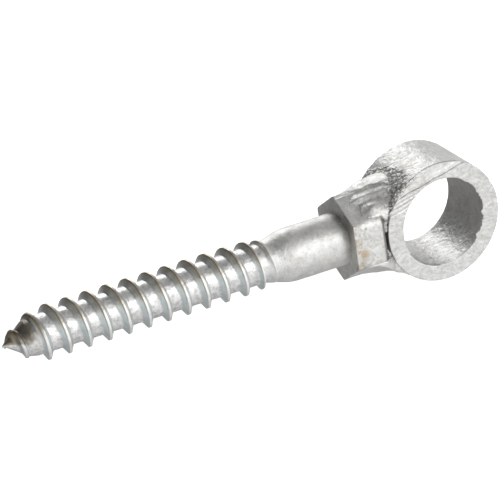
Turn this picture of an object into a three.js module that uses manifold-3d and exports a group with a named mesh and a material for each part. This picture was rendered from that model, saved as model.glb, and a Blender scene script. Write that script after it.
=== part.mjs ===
// Screw-in thimble eye: a lag screw whose hex head is arc-welded to the side of a short tube.
// Units are millimetres. +X runs along the screw from its point to the tube, the tube's bore runs
// along Y, and +Z is up. The origin is under the middle of the part, level with the tube's lowest line.
import * as THREE from 'three';
import { mergeVertices } from 'three/addons/utils/BufferGeometryUtils.js';
import Module from 'manifold-3d';

const wasm = await Module();
wasm.setup();

// Lag screw, a 3/8 in x 2 1/2 in size with 7 threads to the inch.
const SCREW_LENGTH = 64;
const THREAD_PITCH = 3.71;
const CREST_RADIUS = 4.7;
const ROOT_RADIUS = 3.4;
const SHANK_RADIUS = 4.83;
const THREAD_PHASE = 0.284;
const SCREW_SIDES = 32;

// Radii along the screw, as [distance from the point, radius].
const CORE_PROFILE = [
  [0, 0],
  [4.2, 3.15],
  [5.6, ROOT_RADIUS],
  [49.5, 3.7],
  [53.2, SHANK_RADIUS],
];
const CREST_PROFILE = [
  [0, 0.35],
  [1.75, 2.15],
  [3.4, 3.2],
  [5.6, 4.2],
  [7.2, CREST_RADIUS],
  [44, CREST_RADIUS],
  [50.8, 3.86],
];
const THREAD_END = 50.8;

// One turn of the ridge, as [share of a pitch, share of the full ridge height].
const RIDGE_ROWS = [
  [-0.235, 0],
  [-0.07, 1],
  [0.07, 1],
  [0.235, 0],
  [0.5, 0],
];

// Hex head. Its corners stand almost straight up and down.
const HEAD_ACROSS_FLATS = 14;
const HEAD_HEIGHT = 6.3;
const HEAD_TURN_DEG = -4.2;
const HEAD_CHAMFER_RADIUS = 7.45;
const HEAD_CHAMFER_DEPTH = 0.7;

// Tube that forms the eye. Its front face lies nearer the screw's axis than its back face.
const RING_OUTER_R = 11.25;
const RING_INNER_R = 8.15;
const RING_FRONT_Y = -6.2;
const RING_BACK_Y = 6.5;
const RING_SIDES = 72;
const RING_FROM_BEARING = 18.1;

// Welds, kept clear of the head and of the tube by a small gap.
const WELD_GAP = 0.3;
const WELD_HALF_WIDTH = 5.6;
const WELD_STATIONS = 13;
const WELD_ARC_STEPS = 6;

const SCREW_AXIS_Z = RING_OUTER_R;
const BEARING_X = (SCREW_LENGTH - RING_FROM_BEARING - RING_OUTER_R) / 2;
const POINT_X = BEARING_X - SCREW_LENGTH;
const RING_X = BEARING_X + RING_FROM_BEARING;
const HEAD_END_X = BEARING_X + HEAD_HEIGHT;

function interpolate(profile, at) {
  if (at <= profile[0][0]) return profile[0][1];
  for (let i = 1; i < profile.length; i += 1) {
    const [x0, y0] = profile[i - 1];
    const [x1, y1] = profile[i];
    if (at <= x1) return y0 + ((y1 - y0) * (at - x0)) / (x1 - x0);
  }
  return profile[profile.length - 1][1];
}

function indexedGeometry(points, faces) {
  const geometry = new THREE.BufferGeometry();
  geometry.setAttribute('position', new THREE.Float32BufferAttribute(points.flat(), 3));
  geometry.setIndex(faces.flat());
  return geometry;
}

function toManifold(geometry) {
  const bare = geometry.clone();
  bare.deleteAttribute('normal');
  bare.deleteAttribute('uv');
  const welded = mergeVertices(bare, 1e-5);
  const kept = [];
  const index = welded.index.array;
  for (let i = 0; i < index.length; i += 3) {
    const [a, b, c] = [index[i], index[i + 1], index[i + 2]];
    if (a !== b && b !== c && c !== a) kept.push(a, b, c);
  }
  return new wasm.Manifold(new wasm.Mesh({
    numProp: 3,
    vertProperties: new Float32Array(welded.attributes.position.array),
    triVerts: new Uint32Array(kept),
  }));
}

function toGeometry(solid) {
  const mesh = solid.getMesh();
  const geometry = new THREE.BufferGeometry();
  geometry.setAttribute('position', new THREE.BufferAttribute(new Float32Array(mesh.vertProperties), 3));
  geometry.setIndex(new THREE.BufferAttribute(new Uint32Array(mesh.triVerts), 1));
  geometry.computeVertexNormals();
  return geometry;
}

// Threaded shank as one skin. Its rows climb the helix, so the ridge's edges stay sharp, and rows
// that would pass either end of the thread are folded onto that end.
function threadedShank() {
  const points = [];
  const faces = [];
  const turns = Math.ceil(THREAD_END / THREAD_PITCH) + 4;
  const rowsPerTurn = RIDGE_ROWS.length;
  const lastRow = turns * rowsPerTurn - 1;
  const ringPoint = (distance, radius, side) => {
    const angle = (2 * Math.PI * side) / SCREW_SIDES;
    return [POINT_X + distance, radius * Math.cos(angle), SCREW_AXIS_Z + radius * Math.sin(angle)];
  };
  for (let row = 0; row <= lastRow; row += 1) {
    const [share, height] = RIDGE_ROWS[row % rowsPerTurn];
    const turn = Math.floor(row / rowsPerTurn) - 2;
    for (let side = 0; side < SCREW_SIDES; side += 1) {
      const along = (turn + share + THREAD_PHASE + side / SCREW_SIDES) * THREAD_PITCH;
      const distance = Math.min(Math.max(along, 0), THREAD_END);
      const core = interpolate(CORE_PROFILE, distance);
      const ridge = Math.max(0, interpolate(CREST_PROFILE, distance) - core);
      const radius = distance > 0 ? core + height * ridge : 0;
      points.push(ringPoint(distance, radius, side));
    }
  }
  const at = (row, side) => (side === SCREW_SIDES
    ? (row + rowsPerTurn) * SCREW_SIDES
    : row * SCREW_SIDES + side);
  for (let row = 0; row + 1 + rowsPerTurn <= lastRow; row += 1) {
    for (let side = 0; side < SCREW_SIDES; side += 1) {
      const [a, b] = [at(row, side), at(row + 1, side)];
      const [c, d] = [at(row + 1, side + 1), at(row, side + 1)];
      faces.push([a, c, b], [a, d, c]);
    }
  }
  // Plain neck and shank, which end inside the head.
  let below = lastRow * SCREW_SIDES;
  const [neckEnd] = CORE_PROFILE[CORE_PROFILE.length - 1];
  for (const distance of [neckEnd, SCREW_LENGTH + HEAD_HEIGHT / 3]) {
    const above = points.length;
    for (let side = 0; side < SCREW_SIDES; side += 1) {
      points.push(ringPoint(distance, SHANK_RADIUS, side));
    }
    for (let side = 0; side < SCREW_SIDES; side += 1) {
      const next = (side + 1) % SCREW_SIDES;
      faces.push([below + side, above + next, above + side], [below + side, below + next, above + next]);
    }
    below = above;
  }
  const centre = points.length;
  points.push([POINT_X + SCREW_LENGTH + HEAD_HEIGHT / 3, 0, SCREW_AXIS_Z]);
  for (let side = 0; side < SCREW_SIDES; side += 1) {
    faces.push([centre, below + side, below + ((side + 1) % SCREW_SIDES)]);
  }
  return toManifold(indexedGeometry(points, faces));
}

// Turns a solid built on Z so that its axis lies along +X at the given place.
function alongX(geometry, x) {
  geometry.rotateY(Math.PI / 2);
  geometry.translate(x, 0, SCREW_AXIS_Z);
  return geometry;
}

function hexHead() {
  const outline = new THREE.Shape();
  const cornerRadius = HEAD_ACROSS_FLATS / Math.sqrt(3);
  for (let corner = 0; corner < 6; corner += 1) {
    const angle = THREE.MathUtils.degToRad(HEAD_TURN_DEG + 60 * corner);
    // After alongX, the outline's -X becomes +Z.
    const [u, v] = [-cornerRadius * Math.cos(angle), -cornerRadius * Math.sin(angle)];
    if (corner === 0) outline.moveTo(u, v);
    else outline.lineTo(u, v);
  }
  outline.closePath();
  const prism = new THREE.ExtrudeGeometry(outline, { depth: HEAD_HEIGHT, bevelEnabled: false });
  const slope = (cornerRadius - HEAD_CHAMFER_RADIUS) / HEAD_CHAMFER_DEPTH;
  const chamfer = new THREE.LatheGeometry([
    new THREE.Vector2(0, -1),
    new THREE.Vector2(HEAD_CHAMFER_RADIUS + slope * (HEAD_HEIGHT + 1), -1),
    new THREE.Vector2(HEAD_CHAMFER_RADIUS, HEAD_HEIGHT),
    new THREE.Vector2(0, HEAD_HEIGHT),
  ], 48);
  chamfer.rotateX(Math.PI / 2);
  return toManifold(alongX(prism, BEARING_X)).intersect(toManifold(alongX(chamfer, BEARING_X)));
}

function lagScrew() {
  return toGeometry(threadedShank().add(hexHead()));
}

function tube() {
  const geometry = new THREE.LatheGeometry([
    new THREE.Vector2(RING_INNER_R, RING_FRONT_Y),
    new THREE.Vector2(RING_OUTER_R, RING_FRONT_Y),
    new THREE.Vector2(RING_OUTER_R, RING_BACK_Y),
    new THREE.Vector2(RING_INNER_R, RING_BACK_Y),
    new THREE.Vector2(RING_INNER_R, RING_FRONT_Y),
  ], RING_SIDES);
  geometry.translate(RING_X, 0, SCREW_AXIS_Z);
  return toGeometry(toManifold(geometry));
}

// Height above the screw's axis of the head's upper (or, mirrored, lower) two flats, with the weld's gap.
function flatHeight(y, side) {
  const apothem = HEAD_ACROSS_FLATS / 2 + WELD_GAP;
  const heights = [-30, 30].map((offset) => {
    const normal = THREE.MathUtils.degToRad(90 + HEAD_TURN_DEG + offset);
    return (apothem - side * y * Math.cos(normal)) / Math.sin(normal);
  });
  return Math.min(...heights);
}

// Weld bead in the groove between the head's end and the tube: side +1 is above, -1 below.
// lap is how far it spreads back over the head's flats, reach how high it climbs the tube, and
// hump lifts (or, when negative, hollows) its outer skin.
function weldBead({ side, lap, reach, hump, root }) {
  const wall = HEAD_END_X + WELD_GAP;
  const arcRadius = RING_OUTER_R + WELD_GAP;
  const tubeX = (height) => RING_X - Math.sqrt(arcRadius ** 2 - height ** 2);
  const points = [];
  let perSection = 0;
  for (let station = 0; station < WELD_STATIONS; station += 1) {
    const across = (2 * station) / (WELD_STATIONS - 1) - 1;
    const y = across * WELD_HALF_WIDTH;
    const swell = Math.sqrt(1 - 0.8 * across ** 2);
    const roof = flatHeight(y, side);
    const lapHere = lap * swell;
    const top = Math.max(reach * (0.72 + 0.28 * swell), roof + 0.6);
    const toe = [wall - lapHere, roof + 0.15];
    const crown = [tubeX(top), top];
    const section = [[wall, root], [wall, roof], [wall - lapHere, roof]];
    for (let step = 0; step <= WELD_ARC_STEPS; step += 1) {
      const t = step / WELD_ARC_STEPS;
      const lift = hump * swell * Math.sin(Math.PI * t);
      section.push([toe[0] + (crown[0] - toe[0]) * t, toe[1] + (crown[1] - toe[1]) * t + lift]);
    }
    for (let step = 1; step <= WELD_ARC_STEPS; step += 1) {
      const height = top + ((root - top) * step) / WELD_ARC_STEPS;
      section.push([tubeX(height), height]);
    }
    perSection = section.length;
    for (const [x, height] of section) points.push([x, y, SCREW_AXIS_Z + side * height]);
  }
  const faces = [];
  for (let station = 0; station + 1 < WELD_STATIONS; station += 1) {
    for (let i = 0; i < perSection; i += 1) {
      const a = station * perSection + i;
      const b = station * perSection + ((i + 1) % perSection);
      faces.push([a, b, b + perSection], [a, b + perSection, a + perSection]);
    }
  }
  const capFaces = (start) => {
    const outline = points.slice(start, start + perSection).map(([x, , z]) => new THREE.Vector2(x, side * z));
    return THREE.ShapeUtils.triangulateShape(outline, []).map((face) => {
      const clockwise = THREE.ShapeUtils.isClockWise(face.map((i) => outline[i]));
      const [a, b, c] = face.map((i) => i + start);
      return clockwise === (start === 0) ? [a, c, b] : [a, b, c];
    });
  };
  faces.push(...capFaces(0), ...capFaces((WELD_STATIONS - 1) * perSection));
  const facingOut = side > 0 ? faces : faces.map(([a, b, c]) => [a, c, b]);
  return toGeometry(toManifold(indexedGeometry(points, facingOut)));
}

function piece(name, geometry, color, roughness) {
  const material = new THREE.MeshStandardMaterial({ color, metalness: 0.85, roughness });
  const mesh = new THREE.Mesh(geometry, material);
  mesh.name = name;
  return mesh;
}

const part = new THREE.Group();
part.name = 'thimble_eye';
part.add(piece('lag_screw', lagScrew(), 0xbfc4c6, 0.35));
part.add(piece('eye_tube', tube(), 0xc6c5c0, 0.55));
part.add(piece('weld_upper', weldBead({ side: 1, lap: 4.2, reach: 10.2, hump: 0.35, root: 3 }), 0xbdbbb5, 0.6));
part.add(piece('weld_lower', weldBead({ side: -1, lap: 0.9, reach: 9.3, hump: -0.35, root: 3 }), 0xbdbbb5, 0.6));

export default part;
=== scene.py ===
"""Thimble eye: a zinc-plated lag screw whose hex head is arc-welded to the side of a short saw-cut tube."""
import math

import bpy
import numpy as np
from mathutils import Matrix, Vector, noise


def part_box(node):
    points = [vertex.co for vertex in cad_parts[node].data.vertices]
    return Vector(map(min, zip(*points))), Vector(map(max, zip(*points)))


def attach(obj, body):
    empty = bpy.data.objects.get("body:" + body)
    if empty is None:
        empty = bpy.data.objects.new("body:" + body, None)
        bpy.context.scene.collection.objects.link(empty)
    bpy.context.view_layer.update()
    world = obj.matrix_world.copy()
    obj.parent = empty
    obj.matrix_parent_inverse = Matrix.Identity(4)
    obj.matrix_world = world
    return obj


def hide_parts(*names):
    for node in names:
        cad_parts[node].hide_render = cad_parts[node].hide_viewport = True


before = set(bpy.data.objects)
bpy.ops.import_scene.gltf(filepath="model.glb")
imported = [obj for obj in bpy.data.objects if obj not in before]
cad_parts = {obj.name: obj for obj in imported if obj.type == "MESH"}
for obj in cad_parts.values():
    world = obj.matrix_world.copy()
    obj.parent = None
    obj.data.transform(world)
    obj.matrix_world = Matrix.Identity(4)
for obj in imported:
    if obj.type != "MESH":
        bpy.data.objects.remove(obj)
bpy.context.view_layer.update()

MM = 0.001

# ---------------------------------------------------------------- dimensions, in millimetres
SCREW_LOW, SCREW_HIGH = [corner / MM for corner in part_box("lag_screw")]
TUBE_LOW, TUBE_HIGH = [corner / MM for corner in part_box("eye_tube")]
POINT_X = SCREW_LOW.x
HEAD_END_X = SCREW_HIGH.x
TUBE_X = (TUBE_LOW.x + TUBE_HIGH.x) / 2
AXIS_Z = (TUBE_LOW.z + TUBE_HIGH.z) / 2
TUBE_OUTER = (TUBE_HIGH.x - TUBE_LOW.x) / 2
TUBE_INNER = 8.15
TUBE_FRONT = TUBE_LOW.y
TUBE_BACK = TUBE_HIGH.y
HEAD_HEIGHT = 6.3
HEAD_APOTHEM = 7.0
# The head is turned this far about the screw's axis from having a corner straight up.
HEAD_TURN = math.radians(-4.2)
HEAD_CORNER = HEAD_APOTHEM / math.cos(math.pi / 6)
BEARING_X = HEAD_END_X - HEAD_HEIGHT
TUBE_REACH = TUBE_X - BEARING_X
# The tube's skin is uneven, so it starts a little inside the CAD's outside.
TUBE_SKIN = TUBE_OUTER - 0.05
# Radius of the sharp edges on the head and the tube.
RIM = 0.14

PITCH = 3.71
CREST_R = 4.68
ROOT_R = 3.4
SHANK_R = 4.84
THREAD_PHASE = 0.284
FULL_THREAD = 7.2
THREAD_END = 51.6
SCREW_LENGTH = 64.0
# The last ridge lies RUN_OUT nearer to the one before it. The even helix is squeezed from RUN_OUT_FROM
# to RUN_OUT_TO, which comes to lie near RUN_OUT_DONE.
RUN_OUT = 1.3
RUN_OUT_FROM = 46.3
RUN_OUT_TO = 50.6
RUN_OUT_DONE = 49.8
# The silver coating on the head and neck fades out between these distances from the point.
COAT_FROM = 46.5
COAT_TO = 51.5
# Radii along the screw, as (distance from the point, radius).
CORE = [
    (0, 0), (0.5, 0.42), (4.2, 3.1), (5.6, ROOT_R), (48.6, 3.5), (49.6, 3.82), (50.6, 4.02), (51.2, 4.2),
    (52.9, 4.67), (54.5, SHANK_R),
]
CREST = [
    (0, 0.3), (1.75, 2.12), (3.4, 3.17), (5.6, 4.17), (FULL_THREAD, CREST_R), (45, CREST_R), (47.4, 4.45),
    (48.3, 4.22), (49.1, 4.1), (49.9, 3.86),
]
# Half the thread ridge's width at its foot and at its crest, as shares of a pitch.
RIDGE_FOOT = 0.275
RIDGE_CREST = 0.058


# ---------------------------------------------------------------- mesh helpers
def grain(points, size, octaves, seed):
    """Smooth noise in -1..1 at points in millimetres, with features of the given size."""
    offset = Vector((seed, seed * 1.7, -seed))
    return np.array([noise.fractal(Vector(p) / size + offset, 1.0, 2.0, octaves) for p in points])


def pebbles(points, size, seed):
    """Rounded stones of the given size: 0 in the cracks between them and 1 on top."""
    offset = Vector((seed, -seed, seed * 0.6))
    near = [noise.voronoi(Vector(p) / size + offset)[0] for p in points]
    return smooth_step(0.0, 0.34, np.array([d[1] - d[0] for d in near]))


def steel_skin(points):
    """Unevenness of the coated steel, the same field on every piece so that their skins meet."""
    return 0.04 * grain(points, 1.9, 3, 21.0) + 0.018 * grain(points, 0.55, 2, 23.0)


def smooth_step(low, high, value):
    """Smooth change from 0 at low to 1 at high, flat beyond them; low may be the larger of the two."""
    t = np.clip((value - low) / (high - low), 0, 1)
    return t * t * (3 - 2 * t)


def hump(value, middle, width):
    """Bell curve of height 1."""
    return np.exp(-((value - middle) / width) ** 2)


def quarter(count):
    """Angles round a quarter circle, without its first end."""
    return np.linspace(0, math.pi / 2, count + 1)[1:]


def round_axis(x, radius, angle):
    """Points at the given places along the screw's axis, distances from it and angles round it."""
    x, radius, angle = np.broadcast_arrays(x, radius, angle)
    return np.stack([x, radius * np.cos(angle), AXIS_Z + radius * np.sin(angle)], axis=-1).reshape(-1, 3)


def from_axis(points):
    """Vectors from the screw's axis straight out to the points, and their lengths."""
    radial = points - [0, 0, AXIS_Z]
    radial[:, 0] = 0
    return radial, np.linalg.norm(radial, axis=1)


def build(name, points, faces, material, node, attributes):
    """One piece from points in millimetres; it rides on the root body and stands for a CAD node."""
    mesh = bpy.data.meshes.new(name)
    mesh.from_pydata([tuple(p) for p in np.asarray(points) * MM], [], faces)
    mesh.validate()
    for key, values in attributes.items():
        layer = mesh.attributes.new(key, "FLOAT", "POINT")
        layer.data.foreach_set("value", np.asarray(values, dtype=np.float32))
    mesh.shade_smooth()
    mesh.materials.append(material)
    piece = bpy.data.objects.new(name, mesh)
    bpy.context.scene.collection.objects.link(piece)
    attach(piece, "root")
    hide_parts(node)


def grid_faces(rows, columns, wrap_rows=False, start=0):
    """Quads over rows of points; the columns always close on themselves."""
    faces = []
    for row in range(rows if wrap_rows else rows - 1):
        here = start + row * columns
        there = start + (row + 1) % rows * columns
        for column in range(columns):
            after = (column + 1) % columns
            faces.append((here + column, here + after, there + after, there + column))
    return faces


def surface_nets(values, low, cell):
    """Closed skin of the region where values is below zero, sampled on a grid of the given cell size."""
    inside = values < 0
    shape = np.array(values.shape) - 1
    corners = [(i, j, k) for i in (0, 1) for j in (0, 1) for k in (0, 1)]

    def inside_at(corner):
        return inside[tuple(slice(c, c + n) for c, n in zip(corner, shape))].astype(np.int8)

    # One point in each cell that the skin passes through, at the mean of where it crosses the edges.
    count = sum(inside_at(corner) for corner in corners)
    cells = np.argwhere((count > 0) & (count < 8))
    index = np.full(shape, -1)
    index[tuple(cells.T)] = np.arange(len(cells))
    total = np.zeros((len(cells), 3))
    hits = np.zeros(len(cells))
    for axis in range(3):
        along = np.eye(3, dtype=int)[axis]
        for corner in corners:
            if corner[axis]:
                continue
            first = values[tuple((cells + corner).T)]
            second = values[tuple((cells + corner + along).T)]
            crosses = (first < 0) != (second < 0)
            share = np.where(crosses, first / np.where(crosses, first - second, 1), 0)
            total += crosses[:, None] * (np.array(corner) + share[:, None] * along)
            hits += crosses
    points = np.array(low) + cell * (cells + total / hits[:, None])
    # One quad round each edge of the grid whose ends lie on different sides of the skin.
    quads = []
    for axis in range(3):
        u, v = [np.eye(3, dtype=int)[(axis + k) % 3] for k in (1, 2)]
        edges = np.argwhere(np.diff(inside, axis=axis))
        edges = edges[(edges @ u > 0) & (edges @ v > 0) & (edges @ u < shape @ u) & (edges @ v < shape @ v)]
        around = np.stack([index[tuple((edges - step).T)] for step in (0 * u, u, u + v, v)], axis=1)
        starts_inside = inside[tuple(edges.T)]
        quads.append(np.where(starts_inside[:, None], around, around[:, ::-1]))
    return points, np.concatenate(quads)


def point_normals(points, quads):
    """Unit normals at the points, each the mean of the quads round it."""
    across = np.cross(points[quads[:, 2]] - points[quads[:, 0]], points[quads[:, 3]] - points[quads[:, 1]])
    total = np.zeros_like(points)
    for corner in range(4):
        np.add.at(total, quads[:, corner], across)
    return total / np.maximum(np.linalg.norm(total, axis=1), 1e-9)[:, None]


# ---------------------------------------------------------------- materials
class Nodes:
    """Short calls for building one material's node tree."""

    def __init__(self, name):
        self.material = bpy.data.materials.new(name)
        self.material.use_nodes = True
        self.tree = self.material.node_tree
        self.shader = self.tree.nodes["Principled BSDF"]
        self.place = self.tree.nodes.new("ShaderNodeTexCoord").outputs["Object"]

    def link(self, source, target):
        self.tree.links.new(source, target)

    def noise(self, size_mm, detail=4, rough=0.55):
        texture = self.tree.nodes.new("ShaderNodeTexNoise")
        texture.inputs["Scale"].default_value = 1 / (size_mm * MM)
        texture.inputs["Detail"].default_value = detail
        texture.inputs["Roughness"].default_value = rough
        self.link(self.place, texture.inputs["Vector"])
        return texture.outputs["Fac"]

    def ramp(self, source, *stops):
        node = self.tree.nodes.new("ShaderNodeValToRGB")
        for element, (position, colour) in zip(node.color_ramp.elements, stops):
            element.position = position
            grey = isinstance(colour, (int, float))
            element.color = (colour, colour, colour, 1) if grey else (*colour, 1)
        self.link(source, node.inputs["Fac"])
        return node.outputs["Color"]

    def mix(self, factor, first, second, blend="MIX"):
        node = self.tree.nodes.new("ShaderNodeMix")
        node.data_type = "RGBA"
        node.blend_type = blend
        for value, socket in ((factor, 0), (first, 6), (second, 7)):
            if isinstance(value, (int, float)):
                node.inputs[socket].default_value = value
            elif isinstance(value, tuple):
                node.inputs[socket].default_value = (*value, 1)
            else:
                self.link(value, node.inputs[socket])
        return node.outputs[2]

    def attribute(self, name):
        node = self.tree.nodes.new("ShaderNodeAttribute")
        node.attribute_name = name
        return node.outputs["Fac"]

    def bump(self, height, distance_mm, strength, before=None):
        node = self.tree.nodes.new("ShaderNodeBump")
        node.inputs["Distance"].default_value = distance_mm * MM
        node.inputs["Strength"].default_value = strength
        self.link(height, node.inputs["Height"])
        if before is not None:
            self.link(before, node.inputs["Normal"])
        return node.outputs["Normal"]


# What the grime_and_shade and rust attributes mix into a coating's colour; the dark colour stands for soot
# and for painted shade.
SOOT_AND_SHADE = (0.11, 0.10, 0.08)
RUST = (0.47, 0.37, 0.24)
METALLIC = 0.85


def silver_colour(n):
    """Pale grey silver coating, mottled, with darker specks where it is thin."""
    mottle = n.ramp(n.noise(1.6, 6, 0.65), (0.34, (0.61, 0.60, 0.575)), (0.62, (0.755, 0.76, 0.75)))
    speck = n.ramp(n.noise(0.45, 3, 0.6), (0.36, 0.86), (0.52, 1.0))
    return n.mix(1.0, mottle, speck, "MULTIPLY")


def silver_coat(name):
    """Matt silver coating over rough steel. Its grime_and_shade attribute darkens pockets and edges with
    dirt and with painted shade.
    """
    n = Nodes(name)
    colour = n.mix(n.attribute("grime_and_shade"), silver_colour(n), SOOT_AND_SHADE)
    n.link(colour, n.shader.inputs["Base Color"])
    n.shader.inputs["Metallic"].default_value = METALLIC
    n.link(n.ramp(n.noise(0.9, 4), (0.3, 0.40), (0.7, 0.54)), n.shader.inputs["Roughness"])
    fine = n.bump(n.noise(0.5, 2, 0.5), 0.11, 0.9)
    n.link(n.bump(n.noise(1.1, 3, 0.6), 0.16, 0.7, fine), n.shader.inputs["Normal"])
    return n.material


def screw_metal():
    """Bluish zinc on the thread, duller in its root, blending at the neck into the silver coating."""
    n = Nodes("zinc_and_silver_coat")
    coat = n.attribute("coat")
    ridge = n.attribute("ridge")
    root = n.ramp(n.noise(0.75, 5, 0.7), (0.36, (0.52, 0.51, 0.49)), (0.56, (0.83, 0.835, 0.83)))
    flank = n.ramp(n.noise(1.2, 4, 0.6), (0.3, (0.62, 0.67, 0.68)), (0.7, (0.72, 0.77, 0.78)))
    zinc = n.mix(n.ramp(ridge, (0.05, 0.0), (0.25, 1.0)), root, flank)
    # Painted highlight: the narrow flat of the crest is coloured a pale warm white.
    zinc = n.mix(n.ramp(ridge, (0.93, 0.0), (0.99, 1.0)), zinc, (0.88, 0.87, 0.84))
    colour = n.mix(coat, zinc, silver_colour(n))
    colour = n.mix(n.attribute("grime_and_shade"), colour, SOOT_AND_SHADE)
    colour = n.mix(n.attribute("rust"), colour, RUST)
    n.link(colour, n.shader.inputs["Base Color"])
    n.shader.inputs["Metallic"].default_value = METALLIC
    zinc_rough = n.ramp(n.noise(0.7, 4), (0.3, 0.30), (0.7, 0.44))
    coat_rough = n.ramp(n.noise(0.9, 4), (0.3, 0.40), (0.7, 0.54))
    n.link(n.mix(coat, zinc_rough, coat_rough), n.shader.inputs["Roughness"])
    fine = n.bump(n.noise(0.4, 2, 0.5), 0.05, 0.8)
    n.link(n.bump(n.noise(0.9, 3, 0.6), 0.09, 0.6, fine), n.shader.inputs["Normal"])
    return n.material


# ---------------------------------------------------------------- the lag screw
def thread_shares():
    """Where one turn's rows lie, as shares of a pitch from the middle of the ridge."""
    # A row close to each side of a bend keeps it crisp.
    near = 0.012
    flank = np.linspace(RIDGE_CREST + near, RIDGE_FOOT - near, 6)
    crest = np.linspace(-RIDGE_CREST, RIDGE_CREST, 5)
    root = np.linspace(RIDGE_FOOT + near, 1 - RIDGE_FOOT - near, 9)
    return np.concatenate([-flank[::-1], crest, flank, root])


def thread_surface(sides):
    """Threaded shank whose rows climb the helix. Rows beyond either end are clamped onto that end."""
    shares = thread_shares()
    per_turn = len(shares)
    spare_turns = 2
    rows = (math.ceil(THREAD_END / PITCH) + 2 * spare_turns) * per_turn
    row = np.arange(rows)[:, None]
    side = np.arange(sides)
    share = shares[row % per_turn]
    along = (row // per_turn - spare_turns + share + THREAD_PHASE + side / sides) * PITCH
    along = along - RUN_OUT * smooth_step(RUN_OUT_FROM, RUN_OUT_TO, along)
    distance = np.clip(along, 0, THREAD_END)
    core = np.interp(distance, *zip(*CORE))
    crest = np.interp(distance, *zip(*CREST))
    from_middle = np.minimum(share, 1 - share)
    # Lower ridges have a narrower foot, as their flanks lean just as far.
    height = np.maximum(0, crest - core)
    foot = (RIDGE_FOOT - RIDGE_CREST) * np.clip(height / (CREST_R - ROOT_R), 0.42, 1)
    ridge = np.clip((RIDGE_CREST + foot - np.abs(from_middle)) / foot, 0, 1)
    # The flanks hollow a little towards the root.
    shaped = ridge - 0.02 * np.sin(math.pi * ridge)
    radius = np.where(distance > 0, core + shaped * height, 0)
    points = round_axis(POINT_X + distance, radius, 2 * math.pi * side / sides)
    faces = []
    for lower_row in range(rows - 1 - per_turn):
        for s in range(sides):
            lower = lower_row * sides + s
            if s + 1 < sides:
                faces.append((lower, lower + 1, lower + sides + 1, lower + sides))
            else:
                start = (lower_row + per_turn) * sides
                faces.append((lower, start, start + sides, lower + sides))
    return points, faces, ridge.reshape(-1)


def crest_edge_shade(distance, radial, upward):
    """Painted shade: thin dark lines that follow both edges of the crest."""
    turns = np.arctan2(radial[:, 2], radial[:, 1]) / (2 * math.pi)
    unsqueezed = distance + RUN_OUT * smooth_step(RUN_OUT_FROM, RUN_OUT_DONE, distance)
    share = (unsqueezed / PITCH - THREAD_PHASE - turns + 0.5) % 1 - 0.5
    edge_shade = 0.6 * hump(share, -RIDGE_CREST - 0.012, 0.02) * smooth_step(-0.5, 0.3, upward)
    edge_shade += 0.35 * hump(share, RIDGE_CREST + 0.03, 0.02) * smooth_step(-0.9, 0.2, upward)
    ridge_height = np.interp(distance, *zip(*CREST)) - np.interp(distance, *zip(*CORE))
    return edge_shade * (distance < THREAD_END) * (ridge_height > 0.05)


def shank_marks(points, ridge, radial, length):
    """How silver, how dark and how brown the shank is: its coat, its grime with painted shade, and its
    rust.
    """
    distance = points[:, 0] - POINT_X
    coat = smooth_step(COAT_FROM, COAT_TO, distance + 1.2 * grain(points, 2.5, 2, 9.0))
    upward = radial[:, 2] / np.maximum(length, 1e-6)
    near_crest = smooth_step(0.1, 0.7, ridge) * smooth_step(0.1, 0.8, upward)
    upward = upward + 0.15 * grain(points, 0.8, 2, 15.0)
    behind_point = smooth_step(6.2, 4.6, distance) * smooth_step(0.0, 0.3, upward) * (1 - 0.3 * ridge)
    # Plating soot lies in patches, painted shade darkens the upper crest tops, and the hollow behind the
    # point is darker on top.
    patches = smooth_step(0.1, 0.6, grain(points, 1.1, 4, 12.0))
    uneven = 0.5 + 0.5 * smooth_step(-0.3, 0.4, grain(points, 1.0, 3, 18.0))
    grime_and_shade = (0.14 * patches + 0.27 * near_crest * uneven + 0.85 * behind_point) * (1 - coat)
    grime_and_shade += crest_edge_shade(distance, radial, upward)
    grime_and_shade += 0.12 * smooth_step(7.0, 5.0, distance) * (1 - behind_point)
    # Painted shade darkens the shank where it runs into the head, less so on its underside.
    near_head = smooth_step(SCREW_LENGTH - 1.7, SCREW_LENGTH, distance)
    grime_and_shade += 0.50 * near_head * smooth_step(-0.95, 0.1, upward)
    rust = (0.42 * near_crest * (1 - behind_point) + 0.14 * behind_point) * (1 - coat)
    rust += 0.25 * smooth_step(3.0, 0.8, distance) * smooth_step(-0.3, 0.5, upward)
    return coat, grime_and_shade, rust


def lag_screw():
    """Thread, neck, plain shank and hex head as one piece."""
    sides = 120
    points, faces, ridge = thread_surface(sides)
    # Neck and plain shank, which runs into the head.
    neck = np.linspace(THREAD_END, SCREW_LENGTH, 44)
    radius = np.interp(neck, *zip(*CORE))[:, None]
    faces += grid_faces(len(neck), sides, start=len(points))
    neck_points = round_axis(POINT_X + neck[:, None], radius, 2 * math.pi * np.arange(sides) / sides)
    points = np.concatenate([points, neck_points])
    ridge = np.concatenate([ridge, np.zeros(len(neck_points))])

    radial, length = from_axis(points)
    outward = radial / np.maximum(length, 1e-6)[:, None]
    dents = 0.03 * grain(points, 1.6, 3, 2.0) + 0.03 * ridge * grain(points, 0.8, 2, 5.0)
    points = points + outward * (dents * smooth_step(0.3, 2.0, length))[:, None]
    coat, grime_and_shade, rust = shank_marks(points, ridge, radial, length)

    head_points, head_faces = hex_head()
    offset = len(points)
    faces += [tuple(i + offset for i in face) for face in head_faces]
    head_grime_and_shade, head_rust = head_marks(head_points)
    attributes = {
        "coat": np.concatenate([coat, np.ones(len(head_points))]),
        "ridge": np.concatenate([ridge, np.zeros(len(head_points))]),
        "grime_and_shade": np.concatenate([grime_and_shade, head_grime_and_shade]),
        "rust": np.concatenate([rust, head_rust]),
    }
    points = np.concatenate([points, head_points])
    build("lag_screw_detail", points, faces, screw_metal(), "lag_screw", attributes)


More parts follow.
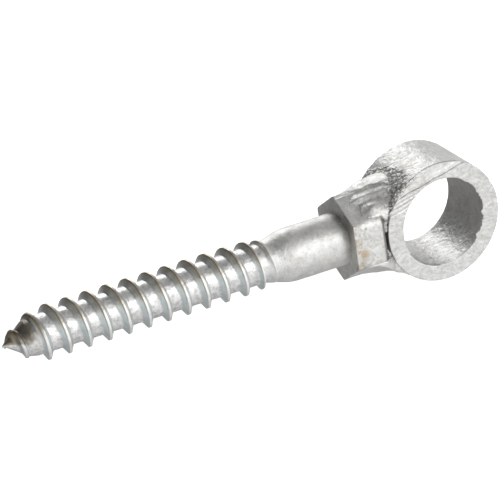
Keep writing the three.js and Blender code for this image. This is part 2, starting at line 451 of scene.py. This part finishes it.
def polar_hexagon(angle, softness, worn=0.0):
    """Radius of the head's hexagon at the given angles about the screw's axis.

    Its corners are blunt, softness rounds them further, and worn takes the most exposed one down.
    """
    folded = (angle - HEAD_TURN) % (math.pi / 3) - math.pi / 6
    flat = HEAD_APOTHEM / np.cos(math.pi / 6 - np.abs(folded))
    # The corner above the front flat is worn well down.
    at_front = hump((angle - HEAD_TURN) % (2 * math.pi), math.radians(150), math.radians(16))
    blunt = HEAD_CORNER - 0.10 - worn * at_front
    return -np.log(np.exp(-flat / softness) + np.exp(-blunt / softness)) * softness


def hex_head():
    """Forged hex head as one skin: bearing face, six flats and the rounded far end."""
    sides = 384
    angle = 2 * math.pi * np.arange(sides) / sides + math.pi / 2
    softness, end_height = 0.06, 1.05
    outline = polar_hexagon(angle, softness)
    # The bearing face starts inside the shank.
    loops = [(0.0, outline * share) for share in np.linspace(0.25, 0.97, 16)]
    for t in quarter(4):
        loops.append((RIM * (1 - math.cos(t)), outline - RIM * (1 - math.sin(t))))
    for x in np.linspace(0.3, HEAD_HEIGHT - end_height, 44):
        worn = smooth_step(0.2, 1.6, x)
        outline = polar_hexagon(angle, softness + 0.10 * worn, 0.26 * worn)
        loops.append((x, outline))
    for t in quarter(12):
        x = HEAD_HEIGHT - end_height * (1 - math.sin(t))
        chamfer = 7.30 + 0.80 * math.cos(t)
        loops.append((x, np.minimum(outline - end_height * (1 - math.cos(t)), chamfer)))
    last = loops[-1][1]
    loops += [(HEAD_HEIGHT, last * share) for share in np.linspace(0.95, 0.05, 14)]
    points = np.concatenate([round_axis(BEARING_X + x, radius, angle) for x, radius in loops])
    faces = grid_faces(len(loops), sides)
    faces.append(tuple(range((len(loops) - 1) * sides, len(loops) * sides)))
    radial, length = from_axis(points)
    hollow = weld_hollow(points[:, 0] - BEARING_X, points[:, 1]) * (radial[:, 2] > 0)
    push = (steel_skin(points) - hollow) * smooth_step(5, 6.8, length)
    return points + radial / length[:, None] * push[:, None], faces


def head_marks(points):
    """Grime, painted shade and rust on the head: painted shade under it and on its end by the groove, with
    pits and stains on its front flat.
    """
    x = points[:, 0] - BEARING_X
    y, z = points[:, 1], points[:, 2] - AXIS_Z
    rough = grain(points, 0.8, 3, 31.0)
    front = smooth_step(5.8, 6.4, -y)
    # Painted shade on the bearing face under the head, darkest at the front above the shank.
    under = 1 - smooth_step(0.0, 0.12, x)
    under = under * (0.12 + 0.55 * hump(y, -4.6, 2.6) * hump(z, 3.4, 3.9))
    pit = 0.75 * hump(x, 2.4, 0.22) * hump(z, 3.6, 0.24) * (y < 0)
    blotches = 0.38 * front * smooth_step(0.05, 0.5, rough) * smooth_step(4.4, 0.6, x)
    specks = 0.25 * front * smooth_step(0.1, 0.5, grain(points, 0.5, 3, 35.0))
    scratch = hump(z + 3.6 - 0.28 * (x - 0.8) ** 2, 0, 0.12)
    scratch = scratch * smooth_step(0.6, 1.0, x) * smooth_step(3.8, 3.0, x)
    # Painted shade on the head's rounded end at the front, beside the groove to the tube.
    groove = smooth_step(HEAD_HEIGHT - 0.95, HEAD_HEIGHT - 0.55, x)
    groove = groove * smooth_step(4.9, 4.2, z) * smooth_step(-4.4, -3.8, z)
    groove = 0.8 * groove * (y < -3)
    grime_and_shade = np.maximum.reduce([under, pit, blotches, specks, 0.4 * front * scratch, groove])
    blot = hump(x, 1.75, 0.65) * hump(z, -0.8, 0.8)
    streak = hump(x, 0.5, 0.6) * smooth_step(-0.15, 0.3, rough) * (np.abs(z) < 4.4)
    second = hump(x, 1.4, 0.7) * hump(z, 2.9, 1.1) * smooth_step(-0.1, 0.4, rough)
    wash = 0.2 * hump(x, 1.1, 1.1) * hump(z, -1.0, 2.2)
    return grime_and_shade, front * np.clip(0.75 * blot + 0.65 * streak + 0.65 * second + wash, 0, 1)


# ---------------------------------------------------------------- the tube
def tube_loops():
    """Section of the tube as (radius, y) points, once round: outside, front face, bore, back face."""
    outer, inner, front, back, rim = TUBE_SKIN, TUBE_INNER, TUBE_FRONT, TUBE_BACK, RIM
    loops = [(outer, y) for y in np.linspace(back - rim, front + rim, 58)]
    loops += [(outer - rim * (1 - math.cos(t)), front + rim * (1 - math.sin(t))) for t in quarter(3)]
    loops += [(r, front) for r in np.linspace(outer - rim, inner + rim, 34)[1:]]
    loops += [(inner + rim * (1 - math.sin(t)), front + rim * (1 - math.cos(t))) for t in quarter(3)]
    loops += [(inner, y) for y in np.linspace(front + rim, back - rim, 48)[1:]]
    loops += [(inner + rim * (1 - math.cos(t)), back - rim * (1 - math.sin(t))) for t in quarter(3)]
    loops += [(r, back) for r in np.linspace(inner + rim, outer - rim, 14)[1:]]
    loops += [(outer - rim * (1 - math.sin(t)), back - rim * (1 - math.cos(t))) for t in quarter(3)[:-1]]
    return np.array(loops)


def bore_burrs(turn):
    """How far the ragged front edge hangs into the bore, by angle in degrees from the +X side."""
    lumps = [(-3, 0.55, 2.6), (-35, 0.6, 3.2), (27, 0.22, 3.5), (52, 0.18, 5)]
    burr = sum(height * hump(turn, middle, width) for middle, height, width in lumps)
    ragged = np.array([max(0.0, noise.noise(Vector((a / 4.5, 3.1, 0)))) for a in turn])
    nick = smooth_step(-153, -149, turn) * smooth_step(-99, -103, turn)
    return burr + 0.5 * ragged * hump(turn, 5, 38) - 0.2 * nick


def saw_cut(x, z):
    """Height above the edge of the front face's second saw cut, and how deep it is cut there."""
    above = z - (8.75 + 0.235 * x)
    wavy = above + 0.12 * np.sin(x * 1.3)
    depth = 0.26 * smooth_step(0, 0.24, wavy) + 0.12 * smooth_step(0.75, 0.95, wavy)
    depth += 0.10 * np.clip(wavy, 0, 3)
    # Fainter strokes of the saw run beside it, on the side towards the screw.
    for offset in (0.75, 1.5, 2.3):
        depth += 0.12 * hump(above, -offset, 0.13) * smooth_step(1.5, -3.0, x)
    return above, depth


def eye_tube():
    """Saw-cut tube with a ragged bore edge and a stepped second cut on the front face."""
    steps = 520
    angle = 2 * math.pi * np.arange(steps) / steps
    turn = np.degrees((angle + math.pi) % (2 * math.pi) - math.pi)
    loops = tube_loops()
    radius, depth = [np.repeat(column[:, None], steps, axis=1) for column in loops.T]
    from_front = depth - TUBE_FRONT
    at_bore = 1 - smooth_step(0.1, 1.0, radius - TUBE_INNER)
    radius = radius - bore_burrs(turn) * (1 - smooth_step(0.1, 0.7, from_front)) * at_bore
    # A blow has flattened the outer edge a little at the right.
    dent = 0.16 * hump(turn, 26, 2.2) * smooth_step(1.5, 2.5, radius - TUBE_INNER)
    radius = radius - dent * (1 - smooth_step(0.0, 2.5, from_front))

    # Everything above the second cut is cut back from the front face.
    x, z = radius * np.cos(angle), radius * np.sin(angle)
    above_cut, cut_back = saw_cut(x, z)
    on_front = 1 - smooth_step(0.0, 0.4, from_front)
    depth = depth + cut_back * on_front
    points = np.stack([TUBE_X + x, depth, AXIS_Z + z], axis=-1).reshape(-1, 3)

    turn = np.tile(turn, len(loops))
    radius, from_front, on_front = radius.ravel(), from_front.ravel(), on_front.ravel()
    inside = (np.abs(radius - TUBE_INNER) < 0.05) * (1 - on_front)
    in_bore = inside > 0.5
    height = (points[:, 2] - AXIS_Z) / TUBE_INNER
    across = (points[:, 0] - TUBE_X) / TUBE_INNER
    skin = steel_skin(points)
    # Chatter marks across the lower half of the bore.
    chatter = [noise.noise(Vector((p[0] / 1.1, p[1] / 0.5, p[2] / 0.7))) for p in points[in_bore]]
    skin[in_bore] += 0.05 * np.array(chatter) * smooth_step(0.1, -0.5, height[in_bore])
    radial = np.tile(np.stack([np.cos(angle), np.zeros(steps), np.sin(angle)], axis=-1), (len(loops), 1))
    outward = np.where(in_bore, -1.0, 1.0)
    points = points + radial * (outward * skin * (1 - on_front))[:, None]
    points[:, 1] += on_front * (0.06 + 0.5 * skin + 0.05 * grain(points, 0.75, 3, 45.0))

    outside = smooth_step(0.3, 0.1, np.abs(radius - TUBE_SKIN))
    edge = 0.75 * outside * smooth_step(60, 85, turn) * (turn < 108) * smooth_step(0.9, 0.1, from_front)
    # The bore is darker towards its top and towards its right side.
    bore_darkening = inside * (0.12 * smooth_step(-0.75, 0.1, height) + 0.20 * smooth_step(0.1, 0.8, across))
    line = 0.4 * on_front * hump(above_cut.ravel(), 0.1, 0.12)
    # A short curved nick on the very top.
    nick_r = np.hypot(points[:, 0] - TUBE_X - 0.7, points[:, 1] - 0.25)
    nick = 0.6 * outside * hump(nick_r, 0.5, 0.12) * (points[:, 0] < TUBE_X + 0.8) * (height > 0)
    grime_and_shade = np.clip(np.maximum.reduce([edge, bore_darkening, line, nick]), 0, 1)
    faces = [face[::-1] for face in grid_faces(len(loops), steps, wrap_rows=True)]
    material = silver_coat("silver_coated_steel")
    build("eye_tube_detail", points, faces, material, "eye_tube", {"grime_and_shade": grime_and_shade})


# ---------------------------------------------------------------- the welds
# Here x is measured from the bearing face and z from the screw's axis.
# Width of the lower bead's fillet, as (y, millimetres).
FILLET = [(-7, 6.4), (-6, 6.2), (-5, 5.7), (-4, 5.7), (-2, 6.0), (0, 6.1), (6.5, 5.0)]
# Where the upper bead ends on the tube, as (y, degrees up from the screw's side), and how many degrees
# further the slag reaches.
TOE = [(-6.2, 23), (-5, 28), (-4, 34), (-2.4, 47), (-0.5, 54), (1.7, 54), (2.8, 50), (4.9, 43), (6.5, 38)]
SLAG_REACH = [(-6.2, 38), (-4, 29), (-1.8, 16), (-0.5, 8), (1.7, 7), (6.5, 9)]
SLAG_THICKNESS = 0.22
# Between these two values of x the beads' ends pass from the head's sides to the tube's faces.
CHANGE_OVER = [5.8, 7.9]
# How far the beads reach into the bare steel, and the cell of the grid that they are sampled on.
PRESSED_IN = 0.35
CELL = 0.11
# Spatter in the front of the groove, as (x, y, z, radius).
UPPER_BLOBS = [
    (6.75, -5.6, 4.1, 0.6), (6.4, -5.8, 3.1, 0.5), (6.4, -5.8, 2.4, 0.55), (6.5, -5.75, 1.7, 0.45),
    (6.9, -5.3, 3.2, 0.5),
]
LOWER_BLOBS = [(6.85, -5.6, -3.1, 0.6), (6.6, -5.5, -2.4, 0.45)]


def flat_height(y):
    """Height of the head's two upper flats above the screw's axis."""
    top = math.pi / 2 + HEAD_TURN
    front_slope, back_slope = math.tan(math.pi / 6 + HEAD_TURN), math.tan(math.pi / 6 - HEAD_TURN)
    from_top = y - HEAD_CORNER * math.cos(top)
    slope = np.where(from_top < 0, front_slope, -back_slope)
    return HEAD_CORNER * math.sin(top) + slope * from_top


def weld_hollow(x, y):
    """Where the flowing metal has bitten into the upper flat at the front."""
    return 0.16 * hump(x, 2.4, 1.2) * hump(y, -3.4, 1.0)


def weld_surface(x, y):
    """Height of the upper weld over the head and up to its toe on the tube."""
    flat = flat_height(y)
    # The top lobe fills the back flat almost to the level of the corner.
    shelf = 8.04 + 0.10 * smooth_step(3, 7, x) + 0.06 * np.sin(1.9 * x + 0.8 * y)
    behind = np.maximum(y - np.interp(x, [0, 1.5, 3.3, 5.4, 6.9], [0.2, 0.7, 1.5, 2.7, 3.2]), 0)
    shelf = shelf - 1.35 * behind * behind / (behind + 0.8)
    ridge_line = np.interp(x, [0.6, 3.5, 7.0, 9.3, 10.5], [-0.1, 0.1, -0.35, -1.3, -2.8])
    # Below its edge lies a second, level terrace that slopes down into a valley.
    front_edge = np.interp(x, [2.0, 4.0, 7.0, 9.3, 10.5], [-1.8, -2.0, -2.0, -2.8, -4.0])
    level = 7.62 + 0.02 * (y + 0.4) - 0.6 * smooth_step(4.2, 1.6, x)
    before_edge = front_edge - y
    # This is level behind the edge, falls 1.3 for each millimetre before it, and bends softly.
    terrace = level - 0.65 * (before_edge + np.sqrt(before_edge ** 2 + 0.06))
    base = -blend_distance(-flat, -terrace, 0.3)
    base = flat + (base - flat) * (1 - smooth_step(0.1, 0.7, y - ridge_line))
    top = base + np.maximum(shelf - base, 0) * smooth_step(-0.35, 0.4, y - ridge_line)
    # A thick tongue hangs over the front corner and falls off towards the tube.
    crown_x = 5.3
    tongue = 1.12 * hump(np.minimum(x, crown_x), crown_x, 1.7) * hump(y, -4.7 - 0.15 * (x - 5), 1.45)
    tongue = tongue * (1 - 0.7 * smooth_step(5.6, 8.6, x))
    # Everything rises towards the toe, latest near the terrace's front edge.
    rise_x = 4.2
    toe = np.radians(np.interp(y, *zip(*TOE)))
    toe_x, toe_z = TUBE_REACH - TUBE_OUTER * np.cos(toe), TUBE_OUTER * np.sin(toe)
    lateness = 1.25 + 0.5 * hump(y, -1.6, 1.1)
    share = np.clip((x - rise_x) / (toe_x - rise_x), 0, 1.2) ** lateness
    return top + (toe_z - top) * share + tongue - weld_hollow(x, y)


def slag_cover(x, y, z):
    """Share of slag and spatter on the tube beyond the upper weld's toe, 0 to 1."""
    angle = np.degrees(np.arctan2(z, TUBE_REACH - x))
    past_toe = angle - np.interp(y, *zip(*TOE))
    reach = np.interp(y, *zip(*SLAG_REACH)) * (1 + 0.16 * np.sin(3.1 * y + 1) + 0.1 * np.sin(7.3 * y))
    near_skin = smooth_step(TUBE_OUTER - 0.8, TUBE_OUTER - 0.4, np.hypot(x - TUBE_REACH, z))
    return near_skin * smooth_step(-7, 0, past_toe) * (1 - smooth_step(0.7, 1.05, past_toe / reach))


def head_distance(x, y, z):
    """Rough distance outside the hex head."""
    distance = np.maximum(x - HEAD_HEIGHT, -x)
    for corner in range(6):
        normal = math.pi / 2 + HEAD_TURN + math.pi / 6 + corner * math.pi / 3
        distance = np.maximum(distance, y * math.cos(normal) + z * math.sin(normal) - HEAD_APOTHEM)
    return distance


def tube_distance(x, y, z):
    """Rough distance outside the tube, as if it had no bore."""
    past_ends = np.maximum(TUBE_FRONT - y, y - TUBE_BACK)
    return np.maximum(np.hypot(x - TUBE_REACH, z) - TUBE_SKIN, past_ends)


def blend_distance(first, second, width):
    """Smooth minimum of two distances, which fills the groove between them with a fillet."""
    share = np.maximum(width - np.abs(first - second), 0) / width
    return np.minimum(first, second) - share * share * width / 4


def weld_metal(side, x, y, z, blobs):
    """Rough distance outside a bead's metal. side is +1 above the screw and -1 below it."""
    head, tube = head_distance(x, y, z), tube_distance(x, y, z)
    bare = np.minimum(head, tube)
    if side > 0:
        across = y * math.cos(HEAD_TURN) + z * math.sin(HEAD_TURN)
        past_sides = np.abs(across) - HEAD_APOTHEM + np.interp(x, CHANGE_OVER, [0, 0.6])
        flow = -blend_distance(0.8 * (weld_surface(x, y) - z), -past_sides, 1.8)
        joined = blend_distance(np.minimum(head, flow), tube - SLAG_THICKNESS * slag_cover(x, y, z), 0.9)
    else:
        joined = blend_distance(head, tube, np.interp(y, *zip(*FILLET)))
    # Metal counts only where it stands proud of the bare steel.
    metal = np.maximum(joined + 0.03, 0.04 - (bare - joined))
    # The groove stays open at the front, between the two beads.
    groove, front_inset = (4.2, 0.15) if side > 0 else (3.5, 0.5)
    opening = np.interp(y, [TUBE_FRONT + 0.5, TUBE_FRONT + 1.2], [groove, 2.2])
    metal = np.maximum(metal, opening - side * z)
    for blob_x, blob_y, blob_z, size in blobs:
        blob = np.sqrt((x - blob_x) ** 2 + (y - blob_y) ** 2 + (z - blob_z) ** 2) - size
        metal = np.minimum(metal, blob)
    # The ends follow the head's sides and then the tube's cut faces.
    front = np.interp(x, CHANGE_OVER, [-7.15, TUBE_FRONT + front_inset])
    back = np.interp(x, CHANGE_OVER, [7.18, TUBE_BACK - 0.05])
    metal = -blend_distance(-metal, y - front, 0.3)
    near_bore = TUBE_INNER + 0.5 - np.hypot(x - TUBE_REACH, z)
    for limit in (y - back, -(bare + PRESSED_IN), near_bore):
        metal = np.maximum(metal, limit)
    return metal


def lobe_shade_and_dirt(x, y):
    """Painted shade on the upper bead, with some dirt in its valley: along the valley and under the edge of
    its top lobe.
    """
    valley = hump(y, np.interp(x, [2.1, 4.4, 6.2, 8.1], [-2.4, -3.0, -3.2, -3.3]), 0.55)
    valley = 0.22 * valley * smooth_step(1.2, 2.4, x) * smooth_step(9.5, 7.5, x)
    edge = hump(y, np.interp(x, [0.6, 3.5, 7.0, 9.3], [-0.4, -0.2, -0.4, -1.1]), 0.22)
    edge = 0.25 * edge * smooth_step(1.0, 2.4, x) * smooth_step(9.5, 8.0, x)
    return np.maximum(valley, edge)


def weld(name, side, low, high, blobs):
    """One bead as a closed skin, sampled in the box from low to high. The upper one has a crust of slag."""
    axes = [np.arange(a, b, CELL) for a, b in zip(low, high)]
    metal = weld_metal(side, *np.meshgrid(*axes, indexing="ij", sparse=True), blobs)
    points, quads = surface_nets(metal, low, CELL)
    normals = point_normals(points, quads)
    x, y, z = points.T
    cover = slag_cover(x, y, z) * (side > 0) * (tube_distance(x, y, z) < 0.5)
    in_groove = smooth_step(4.9, 3.9, np.abs(z)) * (y < -4.5) * smooth_step(5.9, 6.4, x)
    points = points + [BEARING_X, 0, AXIS_Z]
    stones = 0.85 * pebbles(points, 0.95, 3.0) + 0.15 * pebbles(points, 0.5, 8.0)
    rough = steel_skin(points) * (1 + 2 * in_groove)
    points += normals * (rough + cover * (0.24 * stones - 0.18))[:, None]

    x, y = points[:, 0] - BEARING_X, points[:, 1]
    crust = (0.06 + 0.56 * smooth_step(0.34, 0.04, stones)) * smooth_step(0.1, 0.6, cover)
    # Painted shade darkens the groove at the front and the spatter in it; the crust is the slag's own dark
    # between its stones.
    grime_and_shade = np.maximum(crust * (1 - 0.3 * hump(y, -1.5, 1.6)), 0.42 * in_groove)
    if side > 0:
        grime_and_shade = np.maximum(grime_and_shade, lobe_shade_and_dirt(x, y))
    material = silver_coat(name + "_metal")
    build(name + "_detail", points, quads.tolist(), material, name, {"grime_and_shade": grime_and_shade})


lag_screw()
eye_tube()
weld("weld_upper", side=1, low=(0.1, -7.4, 1.2), high=(14.6, 6.9, 11.3), blobs=UPPER_BLOBS)
weld("weld_lower", side=-1, low=(2.0, -7.4, -11.3), high=(15.0, 6.9, -1.2), blobs=LOWER_BLOBS)


# ---------------------------------------------------------------- floor, light and camera
# The part lies on the tube and on the thread near its point, so the floor tilts about Y.
LIE = math.asin((TUBE_OUTER - CREST_R) / (TUBE_X - POINT_X - FULL_THREAD))
FLOOR_HALF = 1.5
FLOOR_GAP = 0.1
FLOOR_GLOW = 0.75
LIGHT_TARGET = Vector((10, 0, AXIS_Z)) * MM


def floor():
    """Pale paper under the part. It glows a little, so that it stays white."""
    mesh = bpy.data.meshes.new("floor")
    corners = [(x * FLOOR_HALF, y * FLOOR_HALF, 0) for x, y in ((-1, -1), (1, -1), (1, 1), (-1, 1))]
    mesh.from_pydata(corners, [], [(0, 1, 2, 3)])
    sheet = bpy.data.objects.new("floor", mesh)
    bpy.context.scene.collection.objects.link(sheet)
    sheet.rotation_euler = (0, LIE, 0)
    floor_up = Vector((math.sin(LIE), 0, math.cos(LIE)))
    sheet.location = Vector((TUBE_X, 0, AXIS_Z)) * MM - floor_up * (TUBE_OUTER + FLOOR_GAP) * MM
    paper = bpy.data.materials.new("pale_paper")
    paper.use_nodes = True
    shader = paper.node_tree.nodes["Principled BSDF"]
    shader.inputs["Base Color"].default_value = (0.93, 0.93, 0.93, 1)
    shader.inputs["Roughness"].default_value = 0.9
    shader.inputs["Emission Color"].default_value = (1, 1, 1, 1)
    shader.inputs["Emission Strength"].default_value = FLOOR_GLOW
    mesh.materials.append(paper)
    # The metal mirrors the room round it and not the glowing sheet.
    sheet.visible_glossy = False


def studio_world(heights, brightness, shades):
    """A plain room: grey by height from straight down (-1) to straight up (1), darkened by shades.

    Each shade is an amount followed by ranges, and a range such as ("Y", -0.2, 0.5) says along which
    direction, from where and up to where that shade grows to its full amount.
    """
    world = bpy.data.worlds.new("studio")
    world.use_nodes = True
    tree = world.node_tree
    towards = tree.nodes.new("ShaderNodeTexCoord").outputs["Generated"]
    split = tree.nodes.new("ShaderNodeSeparateXYZ")
    tree.links.new(towards, split.inputs["Vector"])

    def rescale(value, low, high, to_low=0, to_high=1):
        node = tree.nodes.new("ShaderNodeMapRange")
        limits = {"From Min": low, "From Max": high, "To Min": to_low, "To Max": to_high}
        for name, number in limits.items():
            node.inputs[name].default_value = number
        tree.links.new(value, node.inputs["Value"])
        return node.outputs["Result"]

    def spread(axis, low, high):
        return rescale(split.outputs[axis], low, high)

    def multiply(first, second):
        node = tree.nodes.new("ShaderNodeMath")
        node.operation = "MULTIPLY"
        tree.links.new(first, node.inputs[0])
        tree.links.new(second, node.inputs[1])
        return node.outputs["Value"]

    ramp = tree.nodes.new("ShaderNodeValToRGB")
    while len(ramp.color_ramp.elements) < len(heights):
        ramp.color_ramp.elements.new(0.5)
    for element, (height, grey) in zip(ramp.color_ramp.elements, heights):
        element.position = (height + 1) / 2
        element.color = (grey, grey, grey, 1)
    tree.links.new(spread("Z", -1, 1), ramp.inputs["Fac"])
    strength = tree.nodes.new("ShaderNodeValue").outputs["Value"]
    strength.default_value = brightness
    for amount, *ranges in shades:
        shade = spread(*ranges[0])
        for along in ranges[1:]:
            shade = multiply(shade, spread(*along))
        strength = multiply(strength, rescale(shade, 0, 1, 1, 1 - amount))
    tree.links.new(strength, tree.nodes["Background"].inputs["Strength"])
    tree.links.new(ramp.outputs["Color"], tree.nodes["Background"].inputs["Color"])
    bpy.context.scene.world = world
    bpy.context.scene.view_settings.view_transform = "Standard"


def direction(azimuth, elevation):
    """Unit vector; azimuth 0 is in front of the part (-Y) and 90 to its right (+X)."""
    a, e = math.radians(azimuth), math.radians(elevation)
    return Vector((math.sin(a) * math.cos(e), -math.cos(a) * math.cos(e), math.sin(e)))


def softbox(name, azimuth, elevation, distance, size, radiance):
    """A rectangular soft light, all in metres, that faces the part."""
    light = bpy.data.lights.new(name, "AREA")
    light.shape = "RECTANGLE"
    light.size, light.size_y = size
    light.energy = radiance * math.pi * size[0] * size[1]
    lamp = bpy.data.objects.new(name, light)
    bpy.context.scene.collection.objects.link(lamp)
    away = direction(azimuth, elevation)
    lamp.location = LIGHT_TARGET + away * distance
    lamp.rotation_euler = away.to_track_quat("Z", "Y").to_euler()


def camera():
    """A long lens in front, to the left and above, with a roll because the part lies tilted."""
    azimuth, elevation, roll = -23.08, 25.22, math.radians(-7.30)
    distance = 0.4412
    # The middle of the picture is a point behind the shank.
    target = Vector((BEARING_X - 14.405, 6.12, AXIS_Z)) * MM
    data = bpy.data.cameras.new("camera")
    data.lens = 180
    data.sensor_width = 36
    data.clip_start, data.clip_end = 0.01, 20
    back = direction(azimuth, elevation)
    level = direction(azimuth + 90, 0)
    right = level * math.cos(roll) + back.cross(level) * math.sin(roll)
    up = back.cross(right)
    place = bpy.data.objects.new("camera", data)
    bpy.context.scene.collection.objects.link(place)
    turn = Matrix((right, up, back)).transposed().to_4x4()
    place.matrix_world = Matrix.Translation(target + back * distance) @ turn
    bpy.context.scene.camera = place


# Grey of the room, as (height, grey).
ROOM = [
    (-1, 0.45), (-0.7, 0.57), (-0.42, 0.90), (0.0, 1.0), (0.45, 0.92), (0.7, 0.58), (0.87, 0.31), (1, 0.25),
]
SHADES = [
    (0.30, ("Y", -0.2, 0.5)),
    (0.76, ("Y", 0.2, 0.6), ("X", 0.05, -0.40), ("Z", -0.8, -0.4)),
    (0.34, ("Y", 0.0, 0.6), ("Z", -0.1, -0.5)),
    (0.85, ("X", -0.1, -0.6), ("Z", 0.05, 0.40)),
]
floor()
studio_world(ROOM, 1.16, SHADES)
softbox("front_box", azimuth=22, elevation=28, distance=0.9, size=(0.95, 0.50), radiance=1.5)
softbox("back_box", azimuth=170, elevation=31, distance=0.9, size=(0.46, 0.54), radiance=2.35)
camera()
